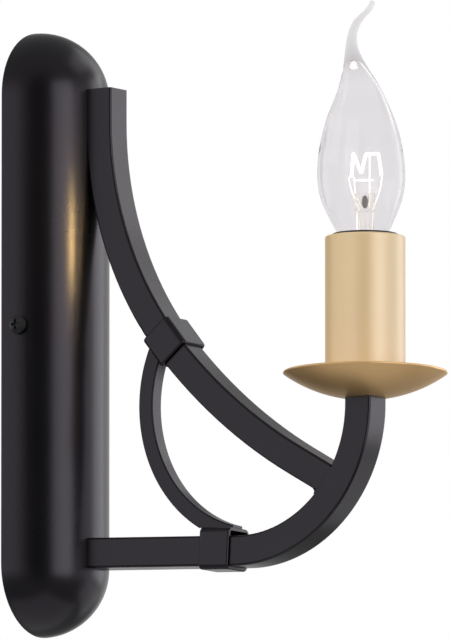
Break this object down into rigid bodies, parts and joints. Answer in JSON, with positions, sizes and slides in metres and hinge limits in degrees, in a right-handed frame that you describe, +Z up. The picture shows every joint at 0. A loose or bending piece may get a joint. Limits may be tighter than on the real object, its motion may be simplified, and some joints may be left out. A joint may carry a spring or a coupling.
{
  "type": "candle wall light",
  "caption": "Wall light with a black half-capsule plate, a bent square-bar arm with a ring brace, a gold drip dish and candle sleeve, and a screw-in flame bulb.",
  "frame": {"origin": "on the wall, behind the middle of the plate", "axes": "+Z up, -Y front, out from the wall, +X to the right as seen from the front"},
  "size_m": [0.0644, 0.1873, 0.2415],
  "materials": {
    "black_paint": "satin black paint",
    "black_screw": "black oxide",
    "zinc_steel": "zinc plated",
    "brass": "plain",
    "gold_paint": "champagne gold, satin metallic",
    "black_plastic": "moulded",
    "white_plastic": "moulded",
    "black_rubber": "matte",
    "brown_sleeving": "extruded",
    "blue_sleeving": "extruded",
    "black_glass": "vitrite",
    "nickel": "rolled",
    "clear_glass": "clear",
    "lead_wire": "drawn",
    "tungsten": "glowing"
  },
  "bodies": {
    "fixture": {"wall_plate": "black_paint", "upper_arm": "black_paint", "lower_arm": "black_paint", "ring_brace": "black_paint", "upper_collar": "black_paint", "lower_collar": "black_paint", "side_screws": "black_screw", "wall_bracket": "zinc_steel", "earth_screw": "zinc_steel", "earth_washer": "zinc_steel", "block_screw": "zinc_steel", "upper_arm_screw": "zinc_steel", "upper_arm_washer": "zinc_steel", "wall_end_plug": "zinc_steel", "candle_end_plug": "zinc_steel", "wall_washer": "zinc_steel", "wall_nut": "zinc_steel", "terminal_screws": "zinc_steel", "holder_nut": "zinc_steel", "terminal_clamps": "brass", "wall_nipple": "brass", "candle_nipple": "brass", "screw_shell": "brass", "centre_contact": "brass", "dish": "gold_paint", "holder_body": "black_plastic", "holder_foot": "black_plastic", "terminal_block": "white_plastic", "cable_grommet": "black_rubber", "live_wire": "brown_sleeving", "neutral_wire": "blue_sleeving"},
    "sleeve": {"candle_sleeve": "gold_paint"},
    "bulb_base": {"bulb_contact": "brass", "bulb_insulator": "black_glass"},
    "bulb": {"bulb_cap": "nickel", "bulb_glass": "clear_glass", "bulb_stem": "clear_glass", "bulb_leads": "lead_wire", "bulb_filament": "tungsten"}
  },
  "joints": [
    {"name": "sleeve_lift", "type": "slide", "parent": "fixture", "child": "sleeve", "axis": [0, 0, 1], "range_m": [0, 0.008]},
    {"name": "bulb_lift", "type": "slide", "parent": "fixture", "child": "bulb_base", "axis": [0, 0, 1], "range_m": [0, 0.0113]},
    {"name": "bulb_turn", "type": "hinge", "parent": "bulb_base", "child": "bulb", "pos_m": [0, -0.1551, 0], "axis": [0, 0, 1], "range_deg": [0, 1440]}
  ],
  "couplings": [
    {"joint": "bulb_lift", "follows": "bulb_turn", "m_per_rad": 0.00044913}
  ]
}
